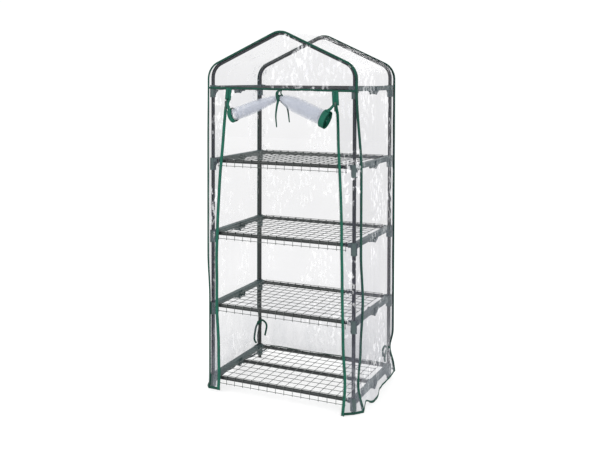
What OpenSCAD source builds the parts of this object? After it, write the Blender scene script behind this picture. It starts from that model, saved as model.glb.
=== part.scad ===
// Folding greenhouse: two house-shaped tube frames joined by folding side rails,
// wire shelves, and a clear film cover with a rolled-up door.
// X runs across the front, -Y is the door side, Z is up, and z = 0 is the ground.

/* [Frame] */
// Distance between the axes of the left and right uprights
frame_width = 674; // [620:1:760]
// Distance between the axes of the front and rear uprights
frame_depth = 470; // [440:1:520]
// Outer diameter of every frame tube
tube_d = 16; // [14:0.5:18]
// Wall thickness of the frame tubes
tube_wall = 0.7; // [0.5:0.1:1.5]
// Height of the lowest bars above the ground
bottom_level = 56; // [50:1:80]
// Height from one level of bars to the next
level_pitch = 326; // [300:1:340]

/* [Roof hoops] */
// Height where the upright and roof lines would meet
eave_height = 1450; // [1430:1:1500]
// Height where the two roof lines would meet
ridge_height = 1605; // [1580:1:1640]
// Centreline radius of the hoop bends
hoop_bend = 70; // [50:1:80]

/* [Side rails] */
// Height of a side rail
rail_h = 20; // [18:1:22]
// Width of a side rail
rail_w = 22; // [20:1:24]
// Distance from an upright to the rail pivot beside it
pivot_offset = 27; // [26:1:34]
// Depth of the middle hinge pin below the rail's centreline
hinge_drop = 19; // [18.5:0.5:22]
// Diameter of the hinge pins
pin_d = 6; // [5:0.5:7]

/* [Shelves] */
// Diameter of the shelf wires
wire_d = 2.4; // [2:0.2:4]
// Half of a shelf's width
shelf_half_w = 307; // [280:1:308]
// Spaces between the wires that run front to back
shelf_columns = 15; // [10:1:18]
// Spaces between the wires that run across
shelf_rows = 10; // [8:1:12]
// Height of the lip in front of a shelf
lip_h = 36; // [30:1:40]

/* [Cover] */
// Distance from the upright axes to the film
film_offset = 17; // [17:0.5:20]
// Distance from the axes of the roof tubes to the film
roof_offset = 9.5; // [9:0.5:14]
// Thickness of the film
film_t = 0.3; // [0.2:0.1:1]
// Width of the sewn edge binding
binding_w = 14; // [10:1:18]
// Diameter of the rolled-up door
roll_d = 60; // [50:1:66]
// Half of the rolled-up door's width
roll_half_w = 225; // [215:1:245]
// Angle at which each half of the roll droops
roll_droop = 16; // [0:1:18]
// Distance of a zip from the middle of the door at its top
zip_top_x = 256; // [250:1:270]
// Distance of a zip from the middle of the door at the ground
zip_bottom_x = 296; // [285:1:305]
// How far the hem flares out over the ground behind the cover
hem_flare = 20; // [10:1:24]

/* [Hidden] */
$fn = 48;

tube_r = tube_d / 2;
half_w = frame_width / 2;
levels = [for (k = [0 : 4]) bottom_level + k * level_pitch];
top_level = levels[4];
film_x = half_w + film_offset;
roll_gap = 3;                                   // between the film and the roll
front_reach = film_offset + roll_gap + roll_d;  // cover in front of the front uprights
rear_reach = film_offset + hem_flare;           // cover behind the rear uprights
mid_y = (front_reach - rear_reach) / 2;         // puts the origin under the middle of it all
front_y = mid_y - frame_depth / 2;
rear_y = mid_y + frame_depth / 2;
film_front_y = front_y - film_offset;
film_rear_y = rear_y + film_offset;

slip = 0.05;                                    // clearance of a tube in its socket
joint_gap = 0.03;                               // between the tubes of a hoop
running = 0.06;                                 // clearance of a turning pin
pin_r = pin_d / 2;
half_span = frame_depth / 2 - pivot_offset;     // middle plane to a rail pivot
end_gap = 0.4;                                  // rail end to the middle plane
rail_wall = 2.5;
ear_t = 4;                                      // one ear of the middle hinge
ear_r = hinge_drop - rail_h / 2 - 0.4;          // stays clear of the other rail
hinge_w = rail_w + 2 * ear_t;
tube_socket_y = 18;                             // middle tube, behind the middle plane
tube_socket_z = -6;                             // and below the rail's centreline
tube_socket_d = 23;
tube_socket_l = 16;

sleeve_d = 27;
sleeve_up = 12;
sleeve_down = 42;
bar_socket_d = 22;
bar_socket_l = 24;
bar_end = 10;                                   // bar end to the upright axis
upright_top = top_level - 14;                   // joint between upright and hoop

roof_slope = atan((ridge_height - eave_height) / half_w);
eave_turn = 90 - roof_slope;                    // angle of the bend at each eave
eave_tangent = hoop_bend * tan(eave_turn / 2);
ridge_tangent = hoop_bend * tan(roof_slope);
roof_run = half_w / cos(roof_slope) - eave_tangent - ridge_tangent;

hem_z = 2;                                      // bottom edge of the film
hem_h = 10;
binding_t = 1.2;
header_z = 1356;                                // seam above the door
header_h = 9;
zip_top_z = 1296;
zip_lean = atan((zip_bottom_x - zip_top_x) / (zip_top_z - hem_z));
zip_w = 12;
roll_centre_z = 1316;
roll_wall = 3;                                  // layers of film round the hollow core
waist_d = roll_d - 8;                           // where the strap draws the roll in
roll_y = film_front_y - roll_gap - roll_d / 2;

steel = [0.14, 0.19, 0.17];
plastic = [0.33, 0.43, 0.43];
wire = [0.25, 0.28, 0.28];
film = [0.90, 0.90, 0.94, 0.45];
tape = [0.05, 0.36, 0.27];
zip_green = [0.08, 0.48, 0.34];

// ---- helpers ----

// The same thing on the right and on the left
module both_sides() {
  children();
  mirror([1, 0, 0]) children();
}

// Copies something made for the front half to the rear half
module to_rear() {
  translate([0, mid_y, 0]) mirror([0, 1, 0]) translate([0, -mid_y, 0]) children();
}

// Extrudes an outline drawn as (Y, Z) to a width centred on x = 0
module across(width) {
  rotate([90, 0, 90]) translate([0, 0, -width / 2]) linear_extrude(width) children();
}

// Extrudes an outline drawn as (X, Z) from y towards +Y
module upright_sheet(y, thickness) {
  translate([0, y + thickness, 0]) rotate([90, 0, 0]) linear_extrude(thickness) children();
}

module x_rod(radius, length) {
  rotate([0, 90, 0]) cylinder(r = radius, h = length, center = true);
}

module tube(length) {
  difference() {
    cylinder(r = tube_r, h = length);
    translate([0, 0, -1]) cylinder(r = tube_r - tube_wall, h = length + 2);
  }
}

// ---- tube frames ----

module uprights() {
  color(steel) both_sides() translate([half_w, front_y, 0]) tube(upright_top);
}

// Tube wall in section, for the bends
module tube_section() {
  difference() {
    circle(r = tube_r);
    circle(r = tube_r - tube_wall);
  }
}

// Bent tube whose centreline starts at +X and turns towards +Y
module bend(angle) {
  rotate_extrude(angle = angle) translate([hoop_bend, 0]) tube_section();
}

// Right leg of a hoop, its eave bend and the tube that slopes up to the ridge bend
module half_hoop() {
  leg = eave_height - eave_tangent - upright_top - 1;
  translate([half_w, front_y, upright_top + 1]) tube(leg);
  translate([half_w - hoop_bend, front_y, eave_height - eave_tangent]) {
    rotate([90, 0, 0]) bend(eave_turn);
    rotate([0, -eave_turn, 0]) translate([hoop_bend, 0, joint_gap])
      tube(roof_run - 2 * joint_gap);
  }
}

module hoop() {
  color(steel) {
    both_sides() half_hoop();
    translate([0, front_y, ridge_height - hoop_bend / cos(roof_slope)]) rotate([90, 0, 0])
      rotate([0, 0, 90 - roof_slope]) bend(2 * roof_slope);
  }
}

module bar(z) {
  color(steel) translate([-half_w + bar_end, front_y, z]) rotate([0, 90, 0])
    tube(frame_width - 2 * bar_end);
}

// ---- corner connectors ----

// Web below the side rail, with a hollow edge
module gusset_outline() {
  reach = pivot_offset + 14;
  top = -rail_h / 2 - 0.5;
  difference() {
    translate([tube_r + 2, -sleeve_down + 2]) square([reach - tube_r - 2, sleeve_down - 2 + top]);
    translate([reach + 6, -sleeve_down - 4]) circle(r = sleeve_down + top, $fn = 96);
  }
}

// Cheek that holds the rail pivot
module cheek_outline() {
  translate([2, -rail_h / 2 + 0.5]) square([pivot_offset - 2, rail_h - 1]);
  translate([pivot_offset, 0]) circle(r = rail_h / 2 - 0.5);
}

module connector() {
  difference() {
    union() {
      translate([0, 0, -sleeve_down]) cylinder(d = sleeve_d, h = sleeve_down + sleeve_up);
      rotate([0, -90, 0]) cylinder(d = bar_socket_d, h = bar_socket_l);
      across(7) gusset_outline();
      for (side = [-1, 1]) translate([side * (hinge_w - ear_t + 0.8) / 2, 0, 0])
        across(ear_t - 0.8) cheek_outline();
    }
    translate([0, 0, -sleeve_down - 1]) cylinder(r = tube_r + slip, h = sleeve_down + sleeve_up + 2);
    translate([-bar_end + slip, 0, 0]) rotate([0, -90, 0])
      cylinder(r = tube_r + slip, h = bar_socket_l);
    translate([0, pivot_offset, 0]) x_rod(pin_r, hinge_w + 4);
  }
}

module connectors(z) {
  color(plastic) both_sides() translate([half_w, front_y, z]) connector();
}

module pivot_pins() {
  color(steel) both_sides() for (z = levels) translate([half_w, front_y + pivot_offset, z])
    x_rod(pin_r, hinge_w);
}

// ---- folding side rails ----

// Outline from the middle plane to the pivot, drawn as (distance, height)
module rail_outline() {
  translate([end_gap, -rail_h / 2]) square([half_span - end_gap, rail_h]);
  translate([half_span, 0]) circle(d = rail_h);
}

// Channel open below, between the solid ends
module rail_hollow() {
  solid_end = 34;
  across(rail_w - 2 * rail_wall) translate([solid_end, -rail_h / 2 - 1])
    square([half_span - solid_end - 14, rail_h + 1 - rail_wall]);
}

// Web from the rail down to the middle hinge pin
module hinge_outline(radius, root) {
  polygon([[end_gap, 1 - rail_h / 2], [root, 1 - rail_h / 2], [radius * 0.8, -hinge_drop - radius * 0.6],
    [end_gap, -hinge_drop]]);
  translate([0, -hinge_drop]) circle(r = radius);
}

module front_half_rail() {
  difference() {
    union() {
      across(rail_w) rail_outline();
      across(rail_w - 0.8) hinge_outline(ear_r - 1.6, 26);
    }
    rail_hollow();
    translate([0, half_span, 0]) x_rod(pin_r + running, rail_w + 2);
    translate([0, 0, -hinge_drop]) x_rod(pin_r, rail_w + 2);
  }
}

module rear_half_rail() {
  difference() {
    union() {
      across(rail_w) rail_outline();
      across(hinge_w) translate([end_gap, -rail_h / 2]) square([30, rail_h - 3]);
      for (side = [-1, 1]) translate([side * (rail_w + ear_t) / 2, 0, 0])
        across(ear_t) hinge_outline(ear_r, 34);
      translate([-rail_w / 2 - tube_socket_l / 2 + 1, tube_socket_y, tube_socket_z])
        x_rod(tube_socket_d / 2, tube_socket_l);
    }
    rail_hollow();
    translate([0, half_span, 0]) x_rod(pin_r + running, rail_w + 2);
    translate([0, 0, -hinge_drop]) x_rod(pin_r + running, hinge_w + 2);
    translate([-rail_w / 2 - tube_socket_l + 2 - slip, tube_socket_y, tube_socket_z])
      x_rod(tube_r + slip, 20);
  }
}

module front_rails(z) {
  color(plastic) both_sides() translate([half_w, mid_y, z]) mirror([0, 1, 0]) front_half_rail();
}

module rear_rails(z) {
  color(plastic) both_sides() translate([half_w, mid_y, z]) rear_half_rail();
}

// Rivet through the middle hinge, with a head on each side
module middle_pins(z) {
  head_t = 1.2;
  color(steel) both_sides() translate([half_w, mid_y, z - hinge_drop]) {
    x_rod(pin_r, hinge_w + 1);
    for (side = [-1, 1]) translate([side * (hinge_w / 2 + 0.1 + head_t / 2), 0, 0])
      x_rod(pin_r + 1.8, head_t);
  }
}

module middle_tube() {
  length = 2 * (half_w - rail_w / 2 - 6);
  color(steel) translate([-length / 2, mid_y + tube_socket_y, bottom_level + tube_socket_z])
    rotate([0, 90, 0]) tube(length);
}

// ---- shelves ----

// One wire shelf: wires that run front to back with cross wires on top, and a lip in front
module shelf(z) {
  wire_r = wire_d / 2;
  rest = tube_r + 0.3 + wire_r;                 // height of the wires above a bar's axis
  weld = 0.4;                                   // how far crossing wires sink together
  lip_y = front_y - rest;
  lip_top = rest - wire_r - joint_gap;          // the lip hangs just under the wires' ends
  back_y = rear_y + 7;
  column = 2 * (shelf_half_w - 4) / shelf_columns;
  row = (back_y - 3 - front_y) / shelf_rows;
  color(wire) translate([0, 0, z]) {
    for (i = [0 : shelf_columns]) translate([-shelf_half_w + 4 + i * column, 0, 0]) {
      translate([0, lip_y - wire_r, rest]) rotate([-90, 0, 0])
        cylinder(r = wire_r, h = back_y - lip_y + wire_r, $fn = 16);
      translate([0, lip_y, rest - lip_h]) cylinder(r = wire_r, h = lip_h - rest + lip_top, $fn = 16);
    }
    for (j = [0 : shelf_rows]) translate([0, front_y + j * row, rest + wire_d - weld])
      x_rod(wire_r, 2 * shelf_half_w);
    translate([0, lip_y - wire_d + weld, 6 + rest - lip_h]) x_rod(wire_r, 2 * shelf_half_w);
  }
}

// ---- cover ----

// House-shaped outline of the cover, moved outwards by a distance; it closes in on the roof tubes
module house_outline(out, base) {
  side_r = hoop_bend + film_offset + out;
  roof_r = hoop_bend + roof_offset + out;
  eave_centre = [half_w - hoop_bend, eave_height - eave_tangent];
  ridge_centre = ridge_height - hoop_bend / cos(roof_slope);
  steps = 8;
  right = concat([[half_w + film_offset + out, base]],
    [for (i = [0 : steps]) let (r = side_r + (roof_r - side_r) * i / steps)
      eave_centre + r * [cos(i * eave_turn / steps), sin(i * eave_turn / steps)]],
    [for (i = [0 : steps - 1]) let (a = 90 - roof_slope * (1 - i / steps))
      [roof_r * cos(a), ridge_centre + roof_r * sin(a)]]);
  left = [for (i = [len(right) - 1 : -1 : 0]) [-right[i][0], right[i][1]]];
  polygon(concat(right, [[0, ridge_centre + roof_r]], left));
}

// Inner edge of the door opening on the right, at a height
function zip_x(z) = zip_top_x + (zip_bottom_x - zip_top_x) * (zip_top_z - z) / (zip_top_z - hem_z);

// Gable above the door, and a fixed strip on each side of it
module cover_front() {
  split = header_z - header_h / 2;
  color(film) upright_sheet(film_front_y - film_t, film_t) {
    intersection() {
      house_outline(0, hem_z);
      translate([-film_x - 1, split + 0.5]) square([2 * film_x + 2, ridge_height]);
    }
    for (side = [-1, 1]) polygon([[side * film_x, hem_z], [side * zip_bottom_x, hem_z],
      [side * zip_x(split - 0.5), split - 0.5], [side * film_x, split - 0.5]]);
  }
}

module cover_rear() {
  color(film) upright_sheet(film_rear_y, film_t) house_outline(0, hem_z);
}

// Wrap between the front and rear panels, cut at the given heights
module wrap(from_z, to_z) {
  gap = 0.3;
  intersection() {
    upright_sheet(film_front_y + gap, film_rear_y - film_front_y - 2 * gap) difference() {
      house_outline(0, hem_z);
      house_outline(-film_t, hem_z - 1);
    }
    translate([-film_x - 1, film_front_y - 1, from_z])
      cube([2 * film_x + 2, film_rear_y - film_front_y + 2, to_z - from_z]);
  }
}

module cover_sides() {
  color(film) wrap(hem_z + hem_h + 0.2, eave_height - eave_tangent - 0.5);
}

module cover_roof() {
  color(film) wrap(eave_height - eave_tangent, ridge_height + 40);
}

// Sewn tape that follows the edge of a front or rear panel
module binding_outline() {
  difference() {
    house_outline(0, hem_z);
    house_outline(-binding_w, hem_z - 1);
  }
}

module binding_front() {
  color(tape) upright_sheet(film_front_y - film_t - binding_t - 0.1, binding_t) {
    binding_outline();
    translate([-film_x + 1, header_z - header_h / 2]) square([2 * film_x - 2, header_h]);
    for (side = [-1, 1]) translate([side * (film_x + zip_bottom_x) / 2, hem_z + hem_h / 2])
      square([film_x - zip_bottom_x, hem_h], center = true);
  }
}

// Rear edge tape, with the hem that lies out over the ground
module binding_rear() {
  color(tape) {
    upright_sheet(film_rear_y + film_t + 0.1, binding_t) {
      binding_outline();
      translate([-film_x + 1, hem_z]) square([2 * film_x - 2, hem_h]);
    }
    translate([-film_x, film_rear_y + film_t + 0.1, hem_z])
      cube([2 * film_x, hem_flare - film_t - 0.1, binding_t]);
  }
}

module hem_sides() {
  color(tape) both_sides() translate([film_x - 1, film_front_y + 0.3, hem_z])
    cube([binding_t + 1, film_rear_y - film_front_y - 0.6, hem_h]);
}

// Door film rolled up and tied in at the middle, so both ends droop
module door_roll() {
  half_l = roll_half_w / cos(roll_droop);
  start = 16;
  color(film) translate([0, roll_y, roll_centre_z]) difference() {
    union() {
      x_rod(waist_d / 2, 40);
      both_sides() rotate([0, 90 + roll_droop, 0]) translate([0, 0, start])
        cylinder(d = roll_d, h = half_l - start);
    }
    both_sides() rotate([0, 90 + roll_droop, 0]) translate([0, 0, start + 20])
      cylinder(r = roll_d / 2 - roll_wall, h = half_l);
  }
}

// Strap from the header seam round the middle of the roll, with two loose tails
module door_tie() {
  strap_w = 12;
  strap_t = 1.2;
  loop_r = waist_d / 2 + 0.3;
  color(tape) translate([0, roll_y, roll_centre_z]) {
    difference() {
      x_rod(loop_r + strap_t, strap_w);
      x_rod(loop_r, strap_w + 2);
    }
    translate([-strap_w / 2, loop_r, 0]) cube([strap_w, strap_t, header_z - roll_centre_z]);
    for (tail = [[-5, 6, 100], [4, -10, 74]]) translate([tail[0], -loop_r - 1, -4])
      rotate([0, tail[1], 0]) translate([-4, -strap_t, -tail[2]]) cube([8, strap_t, tail[2]]);
  }
}

module zip_tapes() {
  length = (zip_top_z + 20 - hem_z) / cos(zip_lean);
  color(zip_green) both_sides()
    translate([zip_bottom_x, film_front_y - film_t - binding_t - 0.3, hem_z + hem_h + 1])
      rotate([0, -zip_lean, 0]) translate([-2, -binding_t, 0])
        cube([zip_w, binding_t, length - hem_h - 4]);
}

// Slider body with a pull tab hanging from it
module zip_slider() {
  color(steel) translate([zip_top_x, film_front_y - film_t - 2 * binding_t - 0.6, zip_top_z])
    rotate([0, -zip_lean, 0]) {
      translate([-2, -5, -8]) cube([10, 5, 16]);
      translate([0, -7.5, -30]) cube([6, 2, 28]);
      translate([1, -7.5, -5]) cube([4, 5, 3]);
    }
}

// Tapes that tie the cover to the rear uprights, with a bow on each
module rear_ties() {
  tie_z = bottom_level + 96;
  color(tape) both_sides() translate([half_w, rear_y, tie_z]) {
    difference() {
      cylinder(r = tube_r + 1.6, h = 9);
      translate([0, 0, -1]) cylinder(r = tube_r + 0.3, h = 11);
    }
    translate([-3, tube_r + 1, 0]) cube([6, film_offset - tube_r - 1.2, 9]);
    translate([-tube_r - 4, -6, 0]) cube([3.4, 12, 9]);
    for (tail = [-1, 1]) translate([-tube_r - 2.2, tail * 3, 6]) rotate([6 * tail - 6, 6, 0])
      translate([-0.6, -3.5, -74]) cube([1.2, 7, 74]);
  }
}

uprights();  // front_uprights
hoop();  // front_hoop
to_rear() uprights();  // rear_uprights
to_rear() hoop();  // rear_hoop
bar(levels[0]);  // front_bar_0
bar(levels[1]);  // front_bar_1
bar(levels[2]);  // front_bar_2
bar(levels[3]);  // front_bar_3
bar(levels[4]);  // front_bar_4
to_rear() bar(levels[0]);  // rear_bar_0
to_rear() bar(levels[1]);  // rear_bar_1
to_rear() bar(levels[2]);  // rear_bar_2
to_rear() bar(levels[3]);  // rear_bar_3
to_rear() bar(levels[4]);  // rear_bar_4
connectors(levels[0]);  // front_connectors_0
connectors(levels[1]);  // front_connectors_1
connectors(levels[2]);  // front_connectors_2
connectors(levels[3]);  // front_connectors_3
connectors(levels[4]);  // front_connectors_4
to_rear() connectors(levels[0]);  // rear_connectors_0
to_rear() connectors(levels[1]);  // rear_connectors_1
to_rear() connectors(levels[2]);  // rear_connectors_2
to_rear() connectors(levels[3]);  // rear_connectors_3
to_rear() connectors(levels[4]);  // rear_connectors_4
front_rails(levels[0]);  // front_rails_0
front_rails(levels[1]);  // front_rails_1
front_rails(levels[2]);  // front_rails_2
front_rails(levels[3]);  // front_rails_3
front_rails(levels[4]);  // front_rails_4
rear_rails(levels[0]);  // rear_rails_0
rear_rails(levels[1]);  // rear_rails_1
rear_rails(levels[2]);  // rear_rails_2
rear_rails(levels[3]);  // rear_rails_3
rear_rails(levels[4]);  // rear_rails_4
middle_pins(levels[0]);  // middle_pins_0
middle_pins(levels[1]);  // middle_pins_1
middle_pins(levels[2]);  // middle_pins_2
middle_pins(levels[3]);  // middle_pins_3
middle_pins(levels[4]);  // middle_pins_4
pivot_pins();  // front_pins
to_rear() pivot_pins();  // rear_pins
middle_tube();
shelf(levels[0]);  // shelf_0
shelf(levels[1]);  // shelf_1
shelf(levels[2]);  // shelf_2
shelf(levels[3]);  // shelf_3
cover_front();
cover_rear();
cover_sides();
cover_roof();
binding_front();
binding_rear();
hem_sides();
door_roll();
door_tie();
zip_tapes();
mirror([1, 0, 0]) zip_slider();  // zip_slider_left
zip_slider();  // zip_slider_right
rear_ties();
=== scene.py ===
import bpy
from math import atan2, cos, exp, hypot, pi, radians, sin, tan
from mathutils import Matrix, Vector, noise


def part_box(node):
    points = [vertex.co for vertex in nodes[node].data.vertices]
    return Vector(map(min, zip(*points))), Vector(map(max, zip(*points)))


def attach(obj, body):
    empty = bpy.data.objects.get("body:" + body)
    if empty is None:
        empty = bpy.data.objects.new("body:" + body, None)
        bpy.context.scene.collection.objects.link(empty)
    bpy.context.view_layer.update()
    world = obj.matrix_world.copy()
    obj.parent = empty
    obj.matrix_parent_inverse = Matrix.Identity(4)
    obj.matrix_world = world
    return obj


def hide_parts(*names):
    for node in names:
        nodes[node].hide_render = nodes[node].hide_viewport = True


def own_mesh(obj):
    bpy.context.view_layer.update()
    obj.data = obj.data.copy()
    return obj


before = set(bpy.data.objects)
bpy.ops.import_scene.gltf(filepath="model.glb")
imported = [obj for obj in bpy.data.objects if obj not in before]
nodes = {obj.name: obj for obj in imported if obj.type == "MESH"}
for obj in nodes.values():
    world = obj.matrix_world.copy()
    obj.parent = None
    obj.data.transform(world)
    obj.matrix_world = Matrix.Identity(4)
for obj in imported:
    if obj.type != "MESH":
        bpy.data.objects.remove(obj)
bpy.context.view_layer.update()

scene = bpy.context.scene


# ---- camera, first of all ----

def make_camera():
    data = bpy.data.cameras.new("camera")
    data.lens = 50.4
    data.sensor_width = 36
    data.shift_x = 0.03606
    data.shift_y = -0.20707
    data.clip_end = 40
    camera = bpy.data.objects.new("camera", data)
    camera.location = (1.5447, -3.4891, 1.4075)
    camera.rotation_euler = (radians(88.404), radians(-0.118), radians(25.439))
    scene.collection.objects.link(camera)
    scene.camera = camera


make_camera()

# ---- sizes, from the frame's boxes and a few driving dimensions ----

MM = 0.001
up_lo, up_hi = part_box("front_uprights")
TUBE_R = (up_hi.y - up_lo.y) / 2
HALF_W = up_hi.x - TUBE_R
FRONT_Y = (up_lo.y + up_hi.y) / 2
REAR_Y = (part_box("rear_uprights")[0].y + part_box("rear_uprights")[1].y) / 2
FILM_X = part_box("cover_sides")[1].x
FILM_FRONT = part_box("cover_front")[1].y
FILM_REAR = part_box("cover_rear")[0].y
HEM_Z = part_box("cover_front")[0].z
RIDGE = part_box("cover_roof")[1].z
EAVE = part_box("cover_roof")[0].z
HOOP_BEND = 70 * MM
ROOF_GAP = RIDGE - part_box("front_hoop")[1].z + TUBE_R
SIDE_R = HOOP_BEND + FILM_X - HALF_W
ROOF_R = HOOP_BEND + ROOF_GAP
DEPTH = FILM_REAR - FILM_FRONT
SLOPE = atan2(RIDGE - ROOF_R - EAVE, HALF_W - HOOP_BEND)
HEADER_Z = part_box("door_tie")[1].z
SLIDER_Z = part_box("zip_slider_right")[1].z
TIE_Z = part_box("rear_ties")[1].z
roll_lo, roll_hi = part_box("door_roll")
ROLL_Y = (roll_lo.y + roll_hi.y) / 2
ROLL_R = (roll_hi.y - roll_lo.y) / 2
ROLL_MID = 15 * MM
ROLL_Z = roll_hi.z - ROLL_R + 8 * MM
ROLL_HALF = 226 * MM
DROOP = {-1: radians(20), 1: radians(23)}
TIE_HEIGHTS = {-1: TIE_Z + 20 * MM, 1: TIE_Z - 14 * MM}


def smooth(t):
    """Eased step: 0 up to t 0, 1 from t 1"""
    t = min(1.0, max(0.0, t))
    return t * t * (3 - 2 * t)


def bump(t, middle, width):
    """1 at the middle, falling smoothly to 0 at width either side of it"""
    return smooth(1 - abs(t - middle) / width)


# ---- the cover's outline, and how the limp film departs from it ----

SIDE_RUN = EAVE - HEM_Z
TURN = pi / 2 - SLOPE
TURN_RUN = (SIDE_R + ROOF_R) / 2 * TURN
ROOF_RUN = hypot(RIDGE - ROOF_R - EAVE, HALF_W - HOOP_BEND)
HALF_OUTLINE = SIDE_RUN + TURN_RUN + ROOF_RUN + ROOF_R * SLOPE
OUTLINE = 2 * HALF_OUTLINE


def outline_point(s):
    """(x, z, normal angle) at length s from the right foot, going up over the ridge to the left foot"""
    mirror = 1
    if s > HALF_OUTLINE:
        s = OUTLINE - s
        mirror = -1
    if s < SIDE_RUN:
        x, z, a = FILM_X, HEM_Z + s, 0
    elif s < SIDE_RUN + TURN_RUN:
        share = (s - SIDE_RUN) / TURN_RUN
        a = TURN * share
        r = SIDE_R + (ROOF_R - SIDE_R) * share
        x, z = HALF_W - HOOP_BEND + r * cos(a), EAVE + r * sin(a)
    elif s < SIDE_RUN + TURN_RUN + ROOF_RUN:
        a = TURN
        run = s - SIDE_RUN - TURN_RUN
        x = HALF_W - HOOP_BEND + ROOF_R * cos(a) - run * cos(SLOPE)
        z = EAVE + ROOF_R * sin(a) + run * sin(SLOPE)
    else:
        a = pi / 2 - (HALF_OUTLINE - s) / ROOF_R
        x, z = ROOF_R * cos(a), RIDGE - ROOF_R + ROOF_R * sin(a)
    return mirror * x, z, a if mirror > 0 else pi - a


ROOF_STEPS = 200
ROOF_LINE = [outline_point(SIDE_RUN + (HALF_OUTLINE - SIDE_RUN) * i / ROOF_STEPS)
             for i in range(ROOF_STEPS + 1)]


def roof_z(x):
    """Height of the outline above a point of the gable"""
    x = min(abs(x), ROOF_LINE[0][0])
    for (xa, za, _), (xb, zb, _) in zip(ROOF_LINE, ROOF_LINE[1:]):
        if xb <= x <= xa:
            return za + (zb - za) * (xa - x) / max(xa - xb, 1e-9)
    return RIDGE


def seam_z(x):
    """Height of the seam that the door hangs from; it runs down a little to the right"""
    return HEADER_Z + 1 * MM - 5 * MM * x / FILM_X + 1.2 * MM * noise.noise(Vector((x * 12, 0, 4)))


def near_floor(z, reach=0.13):
    """1 at the floor, falling to 0 at the reach above it"""
    return smooth((reach - z) / reach) ** 2


def twist(side, z):
    """How far the cover's front corner has slipped round the post"""
    if side < 0:
        return 2 * MM * smooth((EAVE - z) / 0.3) - 9 * MM * smooth((0.62 - z) / 0.2)
    return (22 * MM * smooth((HEADER_Z - z) / 0.35) + 9 * MM * bump(z, 0.47, 0.2)
            - 10 * MM * bump(z, 0.14, 0.13) + 6 * MM * near_floor(z))


def corner_shift(side, rear, z):
    """(outward, towards +Y) shift of a corner: slipped at the front, drawn in by the ties at the rear"""
    foot = near_floor(z)
    if rear:
        waist = bump(z, TIE_HEIGHTS[side] - 5 * MM, 0.085)
        return -13 * MM * waist + 1 * MM * foot, -6 * MM * waist + 22 * MM * foot
    round_post = twist(side, z)
    if side > 0:
        return 0.66 * round_post, 0.9 * round_post + 18 * MM * foot
    return round_post + 4 * MM * foot, 6 * MM * foot


def slack(side, depth, z):
    """How far the film stands out between its corners. depth is 0 at the front and 1 at the rear"""
    low = smooth((EAVE - z) / 0.3)
    spread = (8 + 6 * sin(15 * depth + 2 * side)) * MM * near_floor(z)
    spike = 24 * MM * bump(depth, 0.07, 0.09) * near_floor(z, 0.07) if side < 0 else 0
    return (5 * MM * low + spread) * sin(pi * depth) + spike


def hem_lift(side, depth):
    """Height of the bottom edge above the ground, where the slack film has ridden up in waves"""
    if side < 0:
        return 12 * MM * smooth((depth - 0.1) * 3) * (0.75 + 0.25 * sin(19 * depth))
    behind_corner = 42 * MM * smooth(depth / 0.05) * (1 - smooth(depth / 0.34))
    return behind_corner + 27 * MM * smooth((depth - 0.4) / 0.14) * (0.9 + 0.15 * sin(16 * depth + 2))


def settle(z, lift):
    """Height of a point above a hem that has ridden up; the lift fades out above it"""
    reach = 0.2
    return z + lift * (1 - min(1, (z - HEM_Z) / reach)) ** 2


def crinkle(p, scale, seed):
    """Small uneven wrinkle of the film, from -1 to 1"""
    q = Vector((p[0], p[1], p[2] * 0.45)) * scale + Vector((seed, seed * 0.7, 0))
    return noise.noise(q) + 0.5 * noise.noise(q * 2.3)


def folds(across, along, seed):
    """Soft folds that run along the sheet, from -1 to 1"""
    return noise.noise(Vector((across * 14, along * 2.2, seed)))


def clear_of_tubes(p):
    """Moves a point out of any upright that it would be inside"""
    room = TUBE_R + 1.5 * MM
    for y in (FRONT_Y, REAR_Y):
        x = HALF_W if p.x > 0 else -HALF_W
        away = Vector((p.x - x, p.y - y, 0))
        if away.length < room and p.z < EAVE:
            p += away.normalized() * (room - away.length)
    return p


def wrap_point(s, depth):
    """Point of the sides and roof, at length s of the outline and depth 0 at the front to 1 at the rear"""
    x, z, a = outline_point(s)
    side = 1 if x > 0 else -1
    edge = smooth(4 * depth) * smooth(4 * (1 - depth))
    front_x, front_y = corner_shift(side, False, z)
    rear_x, rear_y = corner_shift(side, True, z)
    to_front = 1 - smooth(depth * 2.5)
    to_rear = smooth((depth - 0.72) / 0.28)
    out = (slack(side, depth, z) + front_x * to_front + rear_x * to_rear) * abs(cos(a))
    wave = folds(depth, z, 3 + side) * 2.4 + crinkle((x, depth * DEPTH, z), 11, 5) * 1.2
    out += (3 + wave) * MM * edge
    sag = -6 * MM * smooth((z - EAVE) / 0.1) * edge
    y = FILM_FRONT + depth * DEPTH + front_y * to_front + rear_y * to_rear
    z = settle(z, hem_lift(side, depth))
    p = Vector((x + out * cos(a), y, z + (max(out, 0) + sag) * sin(a)))
    return clear_of_tubes(p)


# ---- mesh helpers ----

def make_object(name, verts, faces, material, body, smooth_faces=True):
    """Piece that rides on a body, with its material"""
    mesh = bpy.data.meshes.new(name)
    mesh.from_pydata([tuple(v) for v in verts], [], faces)
    mesh.validate()
    mesh.update()
    if smooth_faces:
        mesh.polygons.foreach_set("use_smooth", [True] * len(mesh.polygons))
    mesh.materials.append(material)
    obj = bpy.data.objects.new(name, mesh)
    scene.collection.objects.link(obj)
    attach(obj, body)
    return obj


def grid(columns, rows, point):
    """Verts and faces of a sheet whose point(u, v) has u and v from 0 to 1"""
    verts = [point(i / columns, j / rows) for i in range(columns + 1) for j in range(rows + 1)]
    w = rows + 1
    faces = [(i * w + j, (i + 1) * w + j, (i + 1) * w + j + 1, i * w + j + 1)
             for i in range(columns) for j in range(rows)]
    return verts, faces


def join_parts(parts):
    """One list of verts and faces from several"""
    verts, faces = [], []
    for v, f in parts:
        base = len(verts)
        verts += v
        faces += [tuple(base + i for i in face) for face in f]
    return verts, faces


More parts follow.
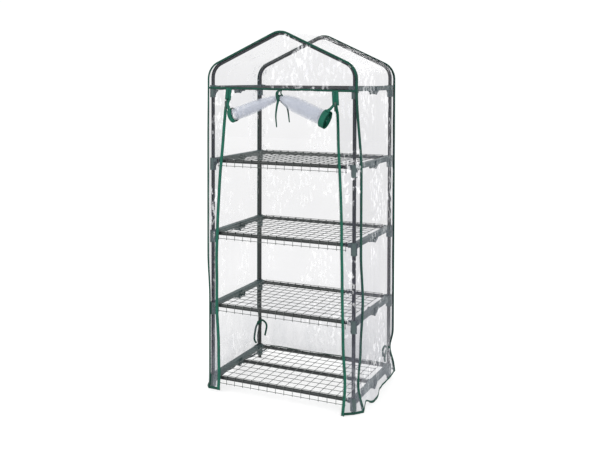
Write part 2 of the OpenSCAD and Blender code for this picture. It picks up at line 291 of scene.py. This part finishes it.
def swept(points, sections):
    """Closed strip through the points; sections gives each point's outline as a list of 3-D offsets"""
    verts = [p + o for p, outline in zip(points, sections) for o in outline]
    n = len(sections[0])
    faces = [(i * n + k, i * n + (k + 1) % n, (i + 1) * n + (k + 1) % n, (i + 1) * n + k)
             for i in range(len(points) - 1) for k in range(n)]
    faces.append(tuple(range(n - 1, -1, -1)))
    last = (len(points) - 1) * n
    faces.append(tuple(range(last, last + n)))
    return verts, faces


def ribbon(points, width, thickness, normals):
    """Flat tape with rounded edges; normals stand off its face"""
    sections = []
    for i in range(len(points)):
        a = points[max(0, i - 1)]
        b = points[min(len(points) - 1, i + 1)]
        along = (b - a).normalized()
        n = Vector(normals[i])
        n = (n - along * n.dot(along)).normalized()
        across = along.cross(n)
        w = width(i / (len(points) - 1)) if callable(width) else width
        h, t = w / 2, thickness / 2
        sections.append([across * -h, across * (-h * 0.8) + n * t, across * (h * 0.8) + n * t,
                         across * h, across * (h * 0.8) - n * t, across * (-h * 0.8) - n * t])
    return swept(points, sections)


def spline(controls, steps):
    """Smooth line through the control points"""
    pts = [Vector(c) for c in controls]
    pts = [2 * pts[0] - pts[1]] + pts + [2 * pts[-1] - pts[-2]]
    out = []
    for i in range(1, len(pts) - 2):
        p0, p1, p2, p3 = pts[i - 1:i + 3]
        for k in range(steps):
            t = k / steps
            out.append(0.5 * (2 * p1 + (p2 - p0) * t + (2 * p0 - 5 * p1 + 4 * p2 - p3) * t * t
                              + (3 * p1 - p0 - 3 * p2 + p3) * t ** 3))
    out.append(pts[-2])
    return out


# ---- materials ----

def new_material(name):
    material = bpy.data.materials.new(name)
    material.use_nodes = True
    tree = material.node_tree
    shader = tree.nodes["Principled BSDF"]
    return material, tree, shader


def add(tree, kind, **values):
    """New node; each value sets an input of that name, or else a property"""
    node = tree.nodes.new(kind)
    for key, value in values.items():
        if key in node.inputs:
            node.inputs[key].default_value = value
        else:
            setattr(node, key, value)
    return node


def noise_value(tree, scale, detail=3.0, stretch=(1, 1, 1), roughness=0.55):
    """Noise over the object's own coordinates, drawn out where stretch is below 1"""
    coords = add(tree, "ShaderNodeTexCoord")
    mapping = add(tree, "ShaderNodeMapping")
    mapping.inputs["Scale"].default_value = stretch
    tree.links.new(coords.outputs["Object"], mapping.inputs["Vector"])
    tex = add(tree, "ShaderNodeTexNoise", Scale=scale, Detail=detail, Roughness=roughness)
    tree.links.new(mapping.outputs["Vector"], tex.inputs["Vector"])
    return tex.outputs["Fac"]


def ramp(tree, value, stops):
    """Colour of a value, from stops of (place, colour)"""
    node = add(tree, "ShaderNodeValToRGB")
    elements = node.color_ramp.elements
    while len(elements) < len(stops):
        elements.new(0.5)
    for element, (place, colour) in zip(elements, stops):
        element.position = place
        element.color = (*colour, 1)
    tree.links.new(value, node.inputs["Fac"])
    return node.outputs["Color"]


def to_range(tree, value, from_lo, from_hi, to_lo, to_hi):
    node = add(tree, "ShaderNodeMapRange")
    for key, number in zip(("From Min", "From Max", "To Min", "To Max"), (from_lo, from_hi, to_lo, to_hi)):
        node.inputs[key].default_value = number
    tree.links.new(value, node.inputs["Value"])
    return node.outputs["Result"]


def add_bump(tree, shader, value, strength, distance):
    node = add(tree, "ShaderNodeBump", Strength=strength, Distance=distance)
    tree.links.new(value, node.inputs["Height"])
    tree.links.new(node.outputs["Normal"], shader.inputs["Normal"])


def coated(name, dark, light, roughness, grain, metallic=0.0):
    """Painted or moulded surface: colour drifts between two tones, with a fine bumpy skin"""
    material, tree, shader = new_material(name)
    drift = noise_value(tree, 9, 4)
    tree.links.new(ramp(tree, drift, [(0.3, dark), (0.7, light)]), shader.inputs["Base Color"])
    fine = noise_value(tree, grain, 2)
    tree.links.new(to_range(tree, fine, 0.3, 0.7, roughness - 0.07, roughness + 0.09),
                   shader.inputs["Roughness"])
    add_bump(tree, shader, fine, 0.25, 0.0006)
    shader.inputs["Metallic"].default_value = metallic
    return material


def height_value(tree, low, high):
    """0 at the low height and 1 at the high one"""
    coords = add(tree, "ShaderNodeTexCoord")
    split = add(tree, "ShaderNodeSeparateXYZ")
    tree.links.new(coords.outputs["Object"], split.inputs["Vector"])
    return to_range(tree, split.outputs["Z"], low, high, 0, 1)


def maths(tree, operation, first, second, third=None):
    """A maths node whose inputs are sockets or numbers"""
    node = add(tree, "ShaderNodeMath", operation=operation, use_clamp=True)
    for socket, value in zip(node.inputs, (first, second, third)):
        if isinstance(value, (int, float)):
            socket.default_value = value
        elif value is not None:
            tree.links.new(value, socket)
    return node.outputs["Value"]


def film_material(name, clear, haze, painted_glint_alpha):
    """Clear PVC: a faint tint in clouds, clusters of painted glints (painted highlights, fewer low down),
    scuffed milky near the ground
    """
    material, tree, shader = new_material(name)
    cloud = noise_value(tree, 2.6, 3, (1, 1, 0.7))
    crease = noise_value(tree, 21, 5, (1.0, 1.0, 0.36), 0.62)
    # Painted highlights: sparse bright glints, gathered in clusters and fewer near the ground
    painted_glint_noise = noise_value(tree, 66, 4, (1.0, 1.0, 0.45), 0.6)
    cluster = to_range(tree, noise_value(tree, 6.0, 2, (1, 1, 0.5)), 0.48, 0.66, 0, 1)
    painted_glint = maths(tree, "MULTIPLY", to_range(tree, painted_glint_noise, 0.54, 0.60, 0, 1), cluster)
    painted_glint = maths(tree, "MULTIPLY", painted_glint, to_range(tree, height_value(tree, 0.3, 1.2), 0, 1, 0.35, 1))
    # Share of the painted highlights' pale colour in the film's colour
    pale = maths(tree, "MULTIPLY", painted_glint, 6.0)
    scuff = maths(tree, "MULTIPLY", to_range(tree, crease, 0.38, 0.62, 0.25, 1),
                  height_value(tree, 0.42, 0.02))
    milk = add(tree, "ShaderNodeMixRGB")
    milk.inputs["Color1"].default_value = (*clear, 1)
    milk.inputs["Color2"].default_value = (0.38, 0.41, 0.45, 1)
    tree.links.new(scuff, milk.inputs["Fac"])
    tint = add(tree, "ShaderNodeMixRGB")
    tree.links.new(milk.outputs["Color"], tint.inputs["Color1"])
    # Colour of the painted highlights
    tint.inputs["Color2"].default_value = (0.93, 0.93, 0.96, 1)
    tree.links.new(pale, tint.inputs["Fac"])
    tree.links.new(tint.outputs["Color"], shader.inputs["Base Color"])
    body = maths(tree, "MULTIPLY_ADD", height_value(tree, 1.6, 0.1), haze[1] - haze[0], haze[0])
    body = maths(tree, "MULTIPLY_ADD", to_range(tree, cloud, 0.3, 0.7, -1, 1), 0.02, body)
    body = maths(tree, "MULTIPLY_ADD", scuff, 0.22, body)
    # The painted highlights also make the film more opaque where they lie
    tree.links.new(maths(tree, "MULTIPLY_ADD", painted_glint, painted_glint_alpha, body), shader.inputs["Alpha"])
    tree.links.new(to_range(tree, crease, 0.3, 0.7, 0.12, 0.28), shader.inputs["Roughness"])
    add_bump(tree, shader, crease, 0.6, 0.003)
    shader.inputs["IOR"].default_value = 1.5
    shader.inputs["Specular IOR Level"].default_value = 0.5
    return material


def woven(name, dark, light, pitch):
    """Narrow woven tape: ribs across it, worn paler in places"""
    material, tree, shader = new_material(name)
    coords = add(tree, "ShaderNodeTexCoord")
    wave = add(tree, "ShaderNodeTexWave", Scale=pitch, Distortion=1.5, Detail=2.0)
    wave.bands_direction = "DIAGONAL"
    tree.links.new(coords.outputs["Object"], wave.inputs["Vector"])
    drift = noise_value(tree, 30, 4)
    mix = add(tree, "ShaderNodeMath", operation="MULTIPLY_ADD")
    tree.links.new(wave.outputs["Fac"], mix.inputs[0])
    mix.inputs[1].default_value = 0.3
    tree.links.new(drift, mix.inputs[2])
    tree.links.new(ramp(tree, mix.outputs["Value"], [(0.35, dark), (0.95, light)]),
                   shader.inputs["Base Color"])
    tree.links.new(to_range(tree, drift, 0.3, 0.7, 0.55, 0.8), shader.inputs["Roughness"])
    add_bump(tree, shader, wave.outputs["Fac"], 0.5, 0.0005)
    shader.inputs["Specular IOR Level"].default_value = 0.25
    return material


STEEL = coated("powder_coated_tube", (0.006, 0.009, 0.009), (0.017, 0.022, 0.021), 0.42, 900)
PLASTIC = coated("moulded_fitting", (0.030, 0.050, 0.052), (0.064, 0.098, 0.098), 0.5, 500)
WIRE = coated("coated_wire", (0.045, 0.055, 0.052), (0.095, 0.105, 0.100), 0.4, 900)
ZINC = coated("zinc_rivet", (0.20, 0.21, 0.22), (0.38, 0.39, 0.40), 0.35, 700, 1.0)
SLIDER = coated("zip_slider_metal", (0.02, 0.05, 0.04), (0.05, 0.10, 0.08), 0.35, 700)
# The last number is how opaque the painted glints (painted highlights) are
FILM = film_material("clear_film", (0.045, 0.042, 0.09), (0.085, 0.265), 0.6)
ROLL_FILM = film_material("rolled_film", (0.60, 0.63, 0.70), (0.16, 0.30), 0.4)
TAPE = woven("edge_binding", (0.002, 0.030, 0.020), (0.007, 0.078, 0.052), 260)
ZIP = woven("zip_tape", (0.003, 0.062, 0.040), (0.010, 0.135, 0.088), 330)


def paint(material, *starts):
    """Gives the material to every frame node whose name starts so"""
    for name, obj in nodes.items():
        if name.startswith(starts):
            if not obj.material_slots:
                obj.data.materials.append(material)
            for slot in obj.material_slots:
                slot.material = material


paint(STEEL, "front_uprights", "rear_uprights", "front_hoop", "rear_hoop", "front_bar", "rear_bar",
      "middle_tube")
paint(PLASTIC, "front_connectors", "rear_connectors", "front_rails", "rear_rails")
paint(WIRE, "shelf")
paint(ZINC, "middle_pins", "front_pins", "rear_pins")
paint(SLIDER, "zip_slider")


# ---- film cover ----


def squash_with_fold(obj):
    """Gives the piece its own copy of its mesh"""
    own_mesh(obj)


def film_wrap():
    """Sides and roof in one piece, over the frame from foot to foot"""
    verts, faces = grid(360, 48, lambda u, v: wrap_point(u * OUTLINE, v))
    obj = make_object("film_wrap", verts, faces, FILM, "front_frame")
    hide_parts("cover_sides", "cover_roof")
    squash_with_fold(obj)


REAR_LIFT = 50 * MM


def rear_point(x, z):
    """Point of the rear panel, which meets the wrap at its edges; its hem has ridden up between them"""
    side = 1 if x > 0 else -1
    share = smooth((abs(x) / FILM_X - 0.5) / 0.5)
    pull_x, pull_y = corner_shift(side, True, z)
    corner_share = smooth((abs(x) / FILM_X - 0.8) / 0.2)
    lift = REAR_LIFT + (hem_lift(side, 1) - REAR_LIFT) * corner_share + 3 * MM * sin(23 * x)
    splay = 9.6 * MM * near_floor(z) * (1 + 0.4 * sin(17 * x)) * (1 - share)
    px = x + side * (slack(side, 1, z) + pull_x) * share
    p = Vector((px, FILM_REAR + pull_y * share + splay, settle(z, lift)))
    return clear_of_tubes(p)


def film_rear():
    """Rear panel, inside the outline"""
    columns = 60
    tops = [roof_z(-FILM_X + 2 * FILM_X * i / columns) for i in range(columns + 1)]

    def point(u, v):
        x = -FILM_X + 2 * FILM_X * u
        z = HEM_Z + v * (tops[round(u * columns)] - HEM_Z)
        p = rear_point(x, z)
        edge = smooth(6 * u) * smooth(6 * (1 - u)) * smooth(6 * (1 - v))
        p.y += (2.5 + 2.2 * folds(x, z, 9) + 1.2 * crinkle((x, 0, z), 10, 2)) * MM * edge
        return p
    verts, faces = grid(columns, 130, point)
    obj = make_object("film_rear", verts, faces, FILM, "rear_frame")
    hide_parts("cover_rear")


def film_gable():
    """Front film above the door"""
    def point(u, v):
        x = -FILM_X + 2 * FILM_X * u
        z = seam_z(x) + v * (roof_z(x) - seam_z(x))
        p = Vector((x, FILM_FRONT, z))
        edge = smooth(5 * u) * smooth(5 * (1 - u)) * smooth(4 * v) * smooth(4 * (1 - v))
        p.y -= (2.5 + 2.4 * folds(x, z * 2, 12) + 1.5 * crinkle((x, 0, z), 13, 8)) * MM * edge
        return p
    verts, faces = grid(80, 30, point)
    obj = make_object("film_gable", verts, faces, FILM, "front_frame")
    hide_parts("cover_front")


# The door opening widens downwards: (half width at the top, at the ground, belly) on each side
DOOR_EDGE = {-1: (246 * MM, 282 * MM, 35 * MM), 1: (257 * MM, 290 * MM, 10 * MM)}
# Share of the fixed strip's width that lies between the corner and the bend round the post
STRIP_BEND = 0.4


def door_edge(side, z):
    """Distance of the door's edge from the middle, at a height"""
    top, foot, belly = DOOR_EDGE[side]
    t = (HEADER_Z - z) / HEADER_Z
    wobble = 2.5 * MM * noise.noise(Vector((side * 3, z * 5, 1)))
    kick = 10 * MM * bump(z, 0.12, 0.2) if side > 0 else 0
    return top + (foot - top) * t + belly * sin(pi * t) + wobble * smooth(t * 6) + kick


def strip_point(side, u, z):
    """Fixed film beside the door: from the corner (u 0) round the post to the door's edge (u 1)"""
    corner = wrap_point(z - HEM_Z if side > 0 else OUTLINE - z + HEM_Z, 0)
    corner.x = abs(corner.x)
    post = Vector((HALF_W + 7 * MM, FRONT_Y - TUBE_R - 2 * MM, z))
    forward = (25 * MM if side > 0 else 6 * MM) * near_floor(z)
    curl = 6 * MM * noise.noise(Vector((side * 7, z * 7, 3))) * smooth((1.2 - z) * 3)
    edge = Vector((door_edge(side, z) + 6 * MM * near_floor(z), FILM_FRONT - forward - curl, z))
    edge.y = min(edge.y, post.y + 2 * MM)
    if side < 0:
        edge.z += 5 * MM * near_floor(z)
    if u < STRIP_BEND:
        p = corner.lerp(post, u / STRIP_BEND)
    else:
        p = post.lerp(edge, (u - STRIP_BEND) / (1 - STRIP_BEND))
    return Vector((side * p.x, p.y, p.z))


def film_strip(side, name):
    """Fixed film beside the door, from the seam to the ground"""
    def point(u, v):
        top = seam_z(side * FILM_X)
        return strip_point(side, u, HEM_Z + v * (top - HEM_Z))
    verts, faces = grid(10, 130, point)
    obj = make_object(name, verts, faces, FILM, "front_frame")


film_wrap()
film_rear()
film_gable()
film_strip(-1, "film_strip_left")
film_strip(1, "film_strip_right")


# ---- sewn edges ----

BIND_T = 1.2 * MM
BIND_W = 7.5 * MM
SEAM_W = 9 * MM
HEM_W = 11 * MM


def corner_tape(depth, name, body, cad):
    """Folded tape over the edge between the wrap and a panel, one leg on each; the rear one is thicker"""
    count = 300
    facing = Vector((0, -1 if depth == 0 else 1, 0))
    thickness = BIND_T * (1 + 2.2 * depth)
    thin = 0.2 * MM
    points, sections = [], []
    for i in range(count + 1):
        s = OUTLINE * i / count
        p = wrap_point(s, depth)
        a = outline_point(s)[2]
        n = Vector((cos(a), 0, sin(a)))
        w = BIND_W * (1 + 0.12 * noise.noise(Vector((s * 8, depth * 5, 0))))
        outer = [facing * thickness - n * w, facing * thickness + n * thickness * 0.6,
                 n * thickness - facing * w]
        inner = [n * thin - facing * w, n * thin + facing * thin, facing * thin - n * w]
        points.append(p)
        sections.append(outer + inner)
    verts, faces = swept(points, sections)
    obj = make_object(name, verts, faces, TAPE, body)
    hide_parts(cad)
    return obj


corner_tape(0, "edge_tape_front", "front_frame", "binding_front")
corner_tape(1, "edge_tape_rear", "rear_frame", "binding_rear")


def header_seam():
    """Seam where the door hangs from the gable"""
    count = 90
    points = []
    for i in range(count + 1):
        x = -FILM_X + 2 * FILM_X * i / count
        points.append(Vector((x, FILM_FRONT - 1.6 * MM, seam_z(x) - 1 * MM)))
    verts, faces = ribbon(points, SEAM_W, BIND_T, [(0, -1, 0)] * len(points))
    make_object("header_seam", verts, faces, TAPE, "front_frame")


header_seam()


def hem_band(name, count, point, outward, body, squashed):
    """Green hem along the film's bottom edge; point(u, up) gives the film, outward its facing"""
    n = Vector(outward) * BIND_T * 1.5
    verts, faces = [], []
    for i in range(count + 1):
        top = point(i / count, HEM_W)
        foot = point(i / count, 0)
        verts += [foot + n, top + n, top + n * 0.2, foot + n * 0.2]
    for i in range(count):
        faces += [(i * 4 + k, i * 4 + (k + 1) % 4, i * 4 + 4 + (k + 1) % 4, i * 4 + 4 + k)
                  for k in range(4)]
    faces += [(3, 2, 1, 0), (count * 4, count * 4 + 1, count * 4 + 2, count * 4 + 3)]
    obj = make_object(name, verts, faces, TAPE, body)
    if squashed:
        squash_with_fold(obj)
    return obj


right_hem = hem_band("hem_right", 60, lambda u, up: wrap_point(up, u), (1, 0, 0), "front_frame", True)
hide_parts("hem_sides")
hem_band("hem_left", 60, lambda u, up: wrap_point(OUTLINE - up, u), (-1, 0, 0), "front_frame", True)
for side, name in ((-1, "hem_strip_left"), (1, "hem_strip_right")):
    hem_band(name, 10, lambda u, up, side=side: strip_point(side, u, HEM_Z + up), (0, -1, 0),
             "front_frame", False)


def hem_rear_point(u, up):
    return rear_point(-FILM_X + 2 * FILM_X * u, HEM_Z + up)


hem_band("hem_rear", 60, hem_rear_point, (0, 1, 0), "rear_frame", False)


# ---- zips ----

ZIP_SPLIT = {-1: SLIDER_Z + 3 * MM, 1: SLIDER_Z - 14 * MM}
TAPE_W = 15 * MM
ZIP_LIFT = 2.2 * MM
TEETH_LIFT = ZIP_LIFT + 1.0 * MM
UPPER_STEPS = 8
LOWER_STEPS = 120


def lifted(points, lift, across=0.0):
    """The points moved forward off the film, and sideways"""
    return [p + Vector((across, -lift, 0)) for p in points]


def zip_teeth(points, radius, gap):
    """Nylon coil of the zip: a row of small loops along the tape's edge"""
    parts = []
    for a, b in zip(points, points[1:]):
        run = (b - a).length
        count = max(1, int(run / gap))
        for k in range(count):
            p = a + (b - a) * ((k + 0.5) / count)
            ring = [p + Vector((radius * cos(t) * 1.3, -radius * 0.6, radius * sin(t) * 0.45))
                    for t in (0, pi / 2, pi, 3 * pi / 2)]
            back = [q + Vector((0, radius * 0.9, 0)) for q in ring]
            parts.append((ring + back, [(3, 2, 1, 0), (4, 5, 6, 7), (0, 1, 5, 4), (1, 2, 6, 5),
                                        (2, 3, 7, 6), (3, 0, 4, 7)]))
    return join_parts(parts)


def zip_side(side, name):
    """Closed zip above the slider, and the half that stays on the fixed strip below it"""
    split = ZIP_SPLIT[side]
    top = seam_z(side * DOOR_EDGE[side][0]) - 2 * MM
    upper = []
    for i in range(UPPER_STEPS + 1):
        z = top - (top - split) * i / UPPER_STEPS
        upper.append(Vector((side * door_edge(side, z), FILM_FRONT, z)))
    start = split + 6 * MM
    lower, facing = [], []
    for i in range(LOWER_STEPS + 1):
        z = start - (start - HEM_Z) * i / LOWER_STEPS
        p = strip_point(side, 1, z)
        apart = smooth((split - z) / 0.04)
        lower.append(Vector((p.x + side * (1 + 6 * apart) * MM, p.y, p.z)))
        facing.append((-0.35 * apart, -1, 0) if side > 0 else (0, -1, 0))
    verts, faces = join_parts([
        ribbon(lifted(upper, ZIP_LIFT), 2 * TAPE_W, BIND_T, [(0, -1, 0)] * len(upper)),
        ribbon(lifted(lower, ZIP_LIFT), TAPE_W, BIND_T, facing)])
    obj = make_object(name, verts, faces, ZIP, "front_frame")
    closed_teeth = zip_teeth(lifted(upper, TEETH_LIFT), 1.6 * MM, 2 * MM)
    open_teeth = zip_teeth(lifted(lower, TEETH_LIFT, -side * 7 * MM), 1.4 * MM, 2.2 * MM)
    verts, faces = join_parts([closed_teeth, open_teeth])
    make_object(name + "_teeth", verts, faces, ZIP, "front_frame", False)
    return obj


zip_left = zip_side(-1, "zip_left")
zip_side(1, "zip_right")
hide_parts("zip_tapes")


# ---- rolled-up door ----

def roll_axis(side, along):
    """Point of the roll's axis at a distance from its middle; each half droops"""
    soft = 12 * MM
    run = along * cos(DROOP[side])
    drop = tan(DROOP[side]) * (run - soft * (1 - exp(-run / soft)))
    return Vector((ROLL_MID + side * run, ROLL_Y, ROLL_Z - drop))


# On each side of the tie: how far the roll takes to reach its full radius, and how much it gains
ROLL_REACH = {-1: 160 * MM, 1: 100 * MM}
ROLL_GAIN = {-1: 0.66, 1: 0.86}
WAIST = 0.34


def roll_radius(along):
    """Outer radius: drawn in by the tie; the right half was rolled less tightly than the left"""
    side = -1 if along < 0 else 1
    return ROLL_R * (WAIST + ROLL_GAIN[side] * sin(pi / 2 * min(1, abs(along) / ROLL_REACH[side])))


ROLL_TURNS = 10.8
# Radius of the roll's hollow core as a share of the outer radius
ROLL_CORE = 0.27
# Pleats where the tie gathers the film
PLEATS = 7
PLEAT_DEPTH = 0.12
PINCH_REACH = 120 * MM
ROLL_LEN = {side: ROLL_HALF / cos(DROOP[side]) - (10 * MM if side > 0 else 0) for side in (-1, 1)}


def roll_point(along, angle, share, lift=0.0, swell=1.0):
    """Point of the rolled film; share runs from 0 at the core to 1 at the outside"""
    side = 1 if along > 0 else -1
    a = abs(along)
    radius = roll_radius(along) * swell * (ROLL_CORE + (1 - ROLL_CORE) * share)
    pinch = 1 - smooth(a / PINCH_REACH)
    pleat = 1 + PLEAT_DEPTH * pinch * sin(PLEATS * angle + 9 * share) * share
    lump = 1 + 0.04 * noise.noise(Vector((along * 16, angle * 0.9, share * 2)))
    radius = radius * pleat * lump + lift
    tilt = DROOP[side] * side * smooth(a / (30 * MM))
    up = Vector((sin(tilt), 0, cos(tilt)))
    forward = (swell - 1) * ROLL_R * 0.6
    centre = roll_axis(side, a) - Vector((0, forward, 0))
    return centre + Vector((0, cos(angle), 0)) * radius + up * (sin(angle) * radius)


def spiral(along_from, along_to, columns, from_turn, steps, lift=0.0, swell=1.0):
    """The roll's spiral between two places along it, as a single sheet"""
    def point(u, v):
        turn = from_turn + (ROLL_TURNS - from_turn) * v
        ragged = 1 + 0.012 * noise.noise(Vector((turn * 1.7, 2, 0)))
        along = along_from + (along_to - along_from) * u
        return roll_point(along * ragged, pi / 2 + 2 * pi * turn, turn / ROLL_TURNS, lift, swell)
    return grid(columns, steps, point)


def door_roll():
    """The whole door film, rolled up"""
    verts, faces = spiral(-ROLL_LEN[-1], ROLL_LEN[1], 76, 0, 300)
    obj = make_object("door_film", verts, faces, ROLL_FILM, "front_frame")
    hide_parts("door_roll")


door_roll()

# The rolled zip at each end: how much fatter than the roll it is, and how wide
END_SWELL = {-1: 1.08, 1: 1.13}
END_BAND = {-1: 18 * MM, 1: 24 * MM}


def door_end(side, name):
    """The door's half of the zip, rolled up with the film; its coil makes the roll's end fatter"""
    inner = side * (ROLL_LEN[side] + 6 * MM - END_BAND[side])
    outer = side * (ROLL_LEN[side] + 6 * MM)
    verts, faces = spiral(inner, outer, 4, 0.3, 280, 0.7 * MM, END_SWELL[side])
    make_object(name, verts, faces, ZIP, "front_frame")


door_end(-1, "door_zip_left")
door_end(1, "door_zip_right")


def door_lead(side, name):
    """The door's half of the zip between the slider and the roll"""
    split = ZIP_SPLIT[side]
    top = Vector((side * (door_edge(side, split) - 8 * MM), FILM_FRONT - 2.4 * MM, split + 4 * MM))
    end = roll_point(side * (ROLL_LEN[side] - 2 * MM), pi / 2 + 0.5, 1.0, 1.6 * MM, END_SWELL[side])
    middle = top.lerp(end, 0.55) + Vector((side * 4 * MM, -6 * MM, 0))
    points = spline([top, middle, end], 8)
    verts, faces = ribbon(points, TAPE_W, BIND_T, [(0, -1, 0.25)] * len(points))
    make_object(name, verts, faces, ZIP, "front_frame")


door_lead(-1, "door_lead_left")
door_lead(1, "door_lead_right")


def hanging_film():
    """Film between the header seam and the top of the roll"""
    def point(u, v):
        along = -ROLL_LEN[-1] + (ROLL_LEN[1] + ROLL_LEN[-1]) * u
        side = 1 if along > 0 else -1
        foot = roll_point(along, pi / 2 + 0.35, 1.0)
        top = Vector((foot.x * 1.06, FILM_FRONT - 0.8 * MM, seam_z(foot.x) - 3 * MM))
        ripple = noise.noise(Vector((foot.x * 30, v, side)))
        return top.lerp(foot, v) + Vector((0, 3 * MM * sin(pi * v) * ripple, 0))
    verts, faces = grid(70, 10, point)
    obj = make_object("door_film_top", verts, faces, FILM, "front_frame")


hanging_film()


# ---- ties ----

def tape_parts(specs):
    """Several limp tapes, each (control points, width at its start, width at its end, facing)"""
    parts = []
    for controls, start, end, facing in specs:
        points = spline(controls, 9)
        parts.append(ribbon(points, lambda t, a=start, b=end: a + (b - a) * t, BIND_T,
                            [facing] * len(points)))
    return parts


def door_tie():
    """Strap from the header seam round the roll's middle, knotted, with two loose tails"""
    waist = roll_radius(0) + 3 * MM
    x = ROLL_MID
    loop, normals = [], []
    for i in range(29):
        a = radians(96 + 353 * i / 28)
        loop.append(Vector((x + 2 * MM * sin(a), ROLL_Y + waist * cos(a), ROLL_Z + waist * sin(a))))
        normals.append(Vector((0, cos(a), sin(a))))
    front = ROLL_Y - waist
    back = ROLL_Y + 2 * MM
    under = ROLL_Z - waist
    top = seam_z(0) - 2 * MM
    hanger = [(x - 8 * MM, FILM_FRONT - 3 * MM, top),
              (x - 7 * MM, front + 8 * MM, top - 12 * MM),
              (x - 3 * MM, front - 1 * MM, ROLL_Z + 2 * MM),
              (x + 3 * MM, front - 2.5 * MM, ROLL_Z - 14 * MM)]
    long_tail = [(x + 3 * MM, front - 3.5 * MM, ROLL_Z - 10 * MM),
                 (x - 2 * MM, front - 6 * MM, ROLL_Z - 34 * MM),
                 (x - 8 * MM, front - 4 * MM, ROLL_Z - 76 * MM),
                 (x - 5 * MM, front - 2 * MM, ROLL_Z - 124 * MM)]
    short_tail = [(x + 6 * MM, back, under),
                  (x + 26 * MM, back + 16 * MM, under - 24 * MM),
                  (x + 35 * MM, back + 14 * MM, under - 52 * MM),
                  (x + 41 * MM, back + 12 * MM, under - 90 * MM)]
    strand = [(x - 3 * MM, FILM_FRONT - 3 * MM, top),
              (x + 8 * MM, front + 12 * MM, top - 14 * MM),
              (x + 20 * MM, front + 4 * MM, ROLL_Z + 8 * MM)]
    parts = [ribbon(loop, 13 * MM, BIND_T, normals)]
    parts += tape_parts([(hanger, 17 * MM, 10 * MM, (0.1, -1, 0.5)),
                         (long_tail, 11 * MM, 5 * MM, (0.3, -1, 0)),
                         (short_tail, 9 * MM, 5 * MM, (0.5, -1, 0)),
                         (strand, 6 * MM, 6 * MM, (0.2, -1, 0.6))])
    verts, faces = join_parts(parts)
    obj = make_object("door_strap", verts, faces, TAPE, "front_frame")
    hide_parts("door_tie")


door_tie()


def rear_tie(side):
    """Tape knotted round a rear upright, with a loop and two loose ends inside the cover"""
    x = side * HALF_W
    z = TIE_HEIGHTS[side]
    r = TUBE_R + 1.2 * MM
    turns = [2 * pi * i / 24 for i in range(25)]
    ring = [Vector((x + r * cos(a), REAR_Y + r * sin(a), z)) for a in turns]
    parts = [ribbon(ring, 9 * MM, BIND_T, [(cos(a), sin(a), 0) for a in turns])]
    front = REAR_Y - r - 2 * MM
    knot = [(x - 7 * MM, front - 1 * MM, z - 3 * MM), (x, front - 4 * MM, z + 1 * MM),
            (x + 7 * MM, front - 1 * MM, z + 4 * MM)]
    if side < 0:
        loose = [(x + 2 * MM, front, z + 2 * MM), (x + 26 * MM, front - 8 * MM, z + 14 * MM),
                 (x + 47 * MM, front - 8 * MM, z - 8 * MM), (x + 36 * MM, front - 4 * MM, z - 62 * MM)]
        limp = [(x, front, z + 4 * MM), (x - 12 * MM, front - 10 * MM, z - 28 * MM),
                (x - 19 * MM, front - 12 * MM, z - 84 * MM), (x - 8 * MM, front - 12 * MM, z - 104 * MM)]
    else:
        loose = [(x - 4 * MM, front, z + 2 * MM), (x - 15 * MM, front - 5 * MM, z + 4 * MM),
                 (x - 22 * MM, front - 6 * MM, z - 16 * MM), (x - 20 * MM, front - 4 * MM, z - 46 * MM)]
        limp = [(x, front, z), (x - 8 * MM, front - 6 * MM, z - 24 * MM),
                (x - 12 * MM, front - 8 * MM, z - 52 * MM), (x - 9 * MM, front - 8 * MM, z - 66 * MM)]
    parts += tape_parts([(ends, 10 * MM, 9 * MM, (0.4, -1, 0.1)) for ends in (loose, limp)])
    knot_line = spline(knot, 6)
    parts.append(ribbon(knot_line, 11 * MM, 4 * MM, [(0, -1, 0)] * len(knot_line)))
    return join_parts(parts)


def rear_ties():
    """Both ties as one piece, as in the frame"""
    verts, faces = join_parts([rear_tie(-1), rear_tie(1)])
    obj = make_object("rear_tie_tapes", verts, faces, TAPE, "rear_frame")
    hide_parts("rear_ties")


rear_ties()


# ---- room: pale floor and soft light ----

WORLD_LIGHT = 1.04
# The floor's own glow makes it as bright as the world behind it, so that no horizon shows through the film
FLOOR_GLOW = 0.64


def make_floor():
    mesh = bpy.data.meshes.new("floor")
    half = 14
    corners = [(-half, -half, 0), (half, -half, 0), (half, half, 0), (-half, half, 0)]
    mesh.from_pydata(corners, [], [(0, 1, 2, 3)])
    floor = bpy.data.objects.new("floor", mesh)
    material, tree, shader = new_material("studio_floor")
    tones = [(0, (0.34, 0.34, 0.34)), (1, (0.37, 0.37, 0.37))]
    tree.links.new(ramp(tree, noise_value(tree, 3, 2), tones), shader.inputs["Base Color"])
    shader.inputs["Roughness"].default_value = 0.9
    shader.inputs["Emission Color"].default_value = (1, 1, 1, 1)
    shader.inputs["Emission Strength"].default_value = FLOOR_GLOW
    mesh.materials.append(material)
    scene.collection.objects.link(floor)


def make_light(name, place, aim, size, power):
    data = bpy.data.lights.new(name, "AREA")
    data.shape = "RECTANGLE"
    data.size, data.size_y = size
    data.energy = power
    light = bpy.data.objects.new(name, data)
    light.location = place
    light.rotation_euler = (Vector(aim) - Vector(place)).to_track_quat("-Z", "Y").to_euler()
    scene.collection.objects.link(light)


def make_world():
    world = bpy.data.worlds.new("studio")
    world.use_nodes = True
    background = world.node_tree.nodes["Background"]
    background.inputs["Color"].default_value = (1, 1, 1, 1)
    background.inputs["Strength"].default_value = WORLD_LIGHT
    scene.world = world


make_floor()
make_world()
make_light("key", (-2.4, -3.0, 3.2), (0, 0, 0.8), (1.6, 2.4), 60)
make_light("side", (3.4, -1.2, 2.2), (0, 0, 0.9), (0.8, 2.6), 40)
make_light("back", (0.6, 3.2, 2.6), (0, 0, 1.0), (2.4, 1.0), 30)

scene.view_settings.view_transform = "Standard"
# A ray crosses every turn of the rolled door twice
scene.cycles.transparent_max_bounces = 96
